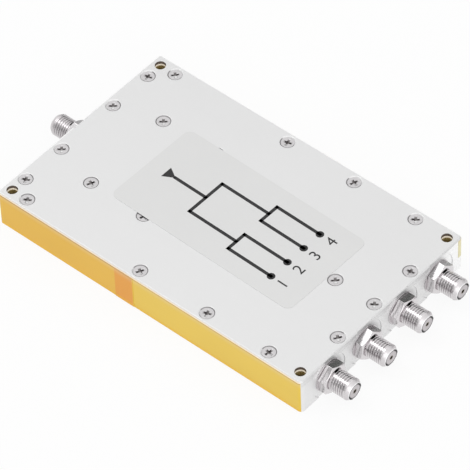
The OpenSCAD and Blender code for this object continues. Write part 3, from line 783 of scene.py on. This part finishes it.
def add_label():
    """The label, printed with a plain splitting tree and the numbers of the outputs."""
    bm = copy_of("face_label")
    ease_edges(bm, LABEL_EASE)
    weigh_normals(add_piece("label_plate", bm, silver_film(), "label", "face_label"))
    ink = bmesh.new()
    add_disc(ink, FEED_START - ARROW_R, 0, ARROW_R, 3)
    add_bar(ink, FEED_START, 0, FIRST_SPLIT, 0)
    add_bar(ink, FIRST_SPLIT, -BRANCH_STEP, FIRST_SPLIT, BRANCH_STEP)
    for branch in (-1, 1):
        branch_y = branch * BRANCH_STEP
        add_bar(ink, FIRST_SPLIT, branch_y, SECOND_SPLIT, branch_y)
        add_bar(ink, SECOND_SPLIT, branch_y - BRANCH_STEP / 2, SECOND_SPLIT, branch_y + BRANCH_STEP / 2)
        for half in (-1, 1):
            line_y = branch_y + half * BRANCH_STEP / 2
            add_bar(ink, SECOND_SPLIT, line_y, LINES_END, line_y)
            add_disc(ink, LINES_END, line_y, DOT_R, 32)
    for number in range(4):
        add_number(ink, str(number + 1), NUMBER_AT, (number - 1.5) * BRANCH_STEP)
    bmesh.ops.transform(ink, matrix=label_axes(), verts=ink.verts)
    add_piece("label_print", ink, black_ink(), "label")


def dress(node, material):
    """Gives a CAD node its finish."""
    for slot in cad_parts[node].material_slots:
        slot.material = material


def dress_nodes():
    """The pieces that keep the model's own shape."""
    dress("tape_near_input", amber_film("amber_first", (233, 185, 60), 0.6))
    dress("tape_near_output", amber_film("amber_lapped", (234, 199, 75), 0.4, LAP_START, LAP_END))
    dress("tape_far_output", amber_film("pale_first", (233, 226, 181), 0.0))
    dress("tape_far_input", amber_film("pale_lapped", (233, 226, 181), 0.0, -LAP_END, -LAP_START))
    dress("circuit_board", matt_solid("laminate", (28, 84, 52), (44, 108, 68), 3000, 0.5))
    dress("copper_traces", plated_metal("copper", (196, 124, 78), (222, 156, 108), 0.24))
    dress("resistor_bodies", matt_solid("ceramic", (26, 26, 28), (44, 44, 46), 6000, 0.45))
    dress("resistor_caps", plated_metal("tin", (176, 176, 174), (206, 206, 204), 0.3))
    dress("board_screws", plated_metal("zinc", (160, 160, 162), (196, 196, 198), 0.28))
    gold = plated_metal("gold", (140, 133, 122), (166, 158, 146), 0.3)
    for port in PORTS:
        dress(port + "_insulator", waxy_insulator(port + "_wax", port_axes(port).translation))
        dress(port + "_contact", gold)


def add_camera():
    """The camera at the photograph's place."""
    data = bpy.data.cameras.new("camera")
    data.lens = LENS
    data.sensor_width = 36
    data.clip_end = 20
    camera = bpy.data.objects.new("camera", data)
    bpy.context.scene.collection.objects.link(camera)
    flat = Vector((math.sin(AZIMUTH), -math.cos(AZIMUTH), 0)) * math.cos(ELEVATION)
    away = flat + Vector((0, 0, math.sin(ELEVATION)))
    turn = away.to_track_quat("Z", "Y").to_matrix().to_4x4()
    camera.matrix_world = Matrix.Translation(AIM + away * DISTANCE) @ turn @ Matrix.Rotation(ROLL, 4, "Z")
    bpy.context.scene.camera = camera


def seen_directly(nodes):
    """One for rays from the camera, off a gloss or through a clear piece, else zero."""
    kinds = ("Camera", "Glossy", "Transmission")
    camera, gloss, clear = (nodes.node("ShaderNodeLightPath", output="Is %s Ray" % kind) for kind in kinds)
    return camera.larger(gloss).larger(clear)


def add_world():
    """An even pale world, white where it is seen."""
    world = bpy.data.worlds.new("pale_world")
    nodes = Nodes(world)
    light = nodes.tree.nodes["Background"]
    nodes.feed(light.inputs["Color"], (1, 1, 1, 1))
    nodes.feed(light.inputs["Strength"], seen_directly(nodes) * (1 - WORLD_LIGHT) + WORLD_LIGHT)
    bpy.context.scene.world = world


def add_floor():
    """A plain white floor that keeps a faint shadow."""
    bm = bmesh.new()
    bmesh.ops.create_grid(bm, x_segments=1, y_segments=1, size=FLOOR_SIZE / 2,
                          matrix=Matrix.Translation((0, 0, -FLOOR_DROP)))
    mesh = bpy.data.meshes.new("floor")
    bm.to_mesh(mesh)
    bm.free()
    paint = Finish("floor_white", roughness=0.9, base_color=(0.9, 0.9, 0.9, 1))
    paint.surface_of(seen_directly(paint) * FLOOR_WHITE, paint.node("ShaderNodeEmission"))
    mesh.materials.append(paint.material)
    floor = bpy.data.objects.new("floor", mesh)
    bpy.context.scene.collection.objects.link(floor)


def add_lamp(name, place, size, power):
    """A soft square lamp that faces the object."""
    data = bpy.data.lights.new(name, "AREA")
    data.size = size
    data.energy = power
    lamp = bpy.data.objects.new(name, data)
    lamp.matrix_world = Matrix.Translation(place) @ Vector(place).to_track_quat("Z", "Y").to_matrix().to_4x4()
    bpy.context.scene.collection.objects.link(lamp)


def add_flag(name, place, width, height, shade):
    """A grey card of the studio that only gloss sees."""
    bm = bmesh.new()
    turn = Vector(place).to_track_quat("Z", "Y").to_matrix().to_4x4()
    size = Matrix.Diagonal((width / 2, height / 2, 1, 1))
    bmesh.ops.create_grid(bm, x_segments=1, y_segments=1, size=1.0,
                          matrix=Matrix.Translation(place) @ turn @ size)
    mesh = bpy.data.meshes.new(name)
    bm.to_mesh(mesh)
    bm.free()
    mesh.materials.append(Finish(name, roughness=0.9, base_color=(shade, shade, shade, 1)).material)
    flag = bpy.data.objects.new(name, mesh)
    flag.visible_camera = False
    flag.visible_diffuse = False
    flag.visible_shadow = False
    bpy.context.scene.collection.objects.link(flag)


def add_lamps():
    """A lamp overhead, a soft one at the side, and a card low on either side."""
    add_lamp("overhead", (-0.62, -0.22, 1.22), 0.52, 2.8)
    add_lamp("side", (0.95, -0.55, 0.55), 0.7, 2.5)
    add_flag("back_flag", (-0.4, 1.2, 0.40), 2.4, 0.72, 0.30)
    add_flag("near_flag", (-0.5, -1.2, 0.55), 2.4, 1.1, 0.62)


add_camera()
add_world()
add_floor()
add_lamps()
add_case()
add_screws()
add_connectors()
add_washers()
add_label()
dress_nodes()
bpy.context.scene.view_settings.view_transform = "Standard"
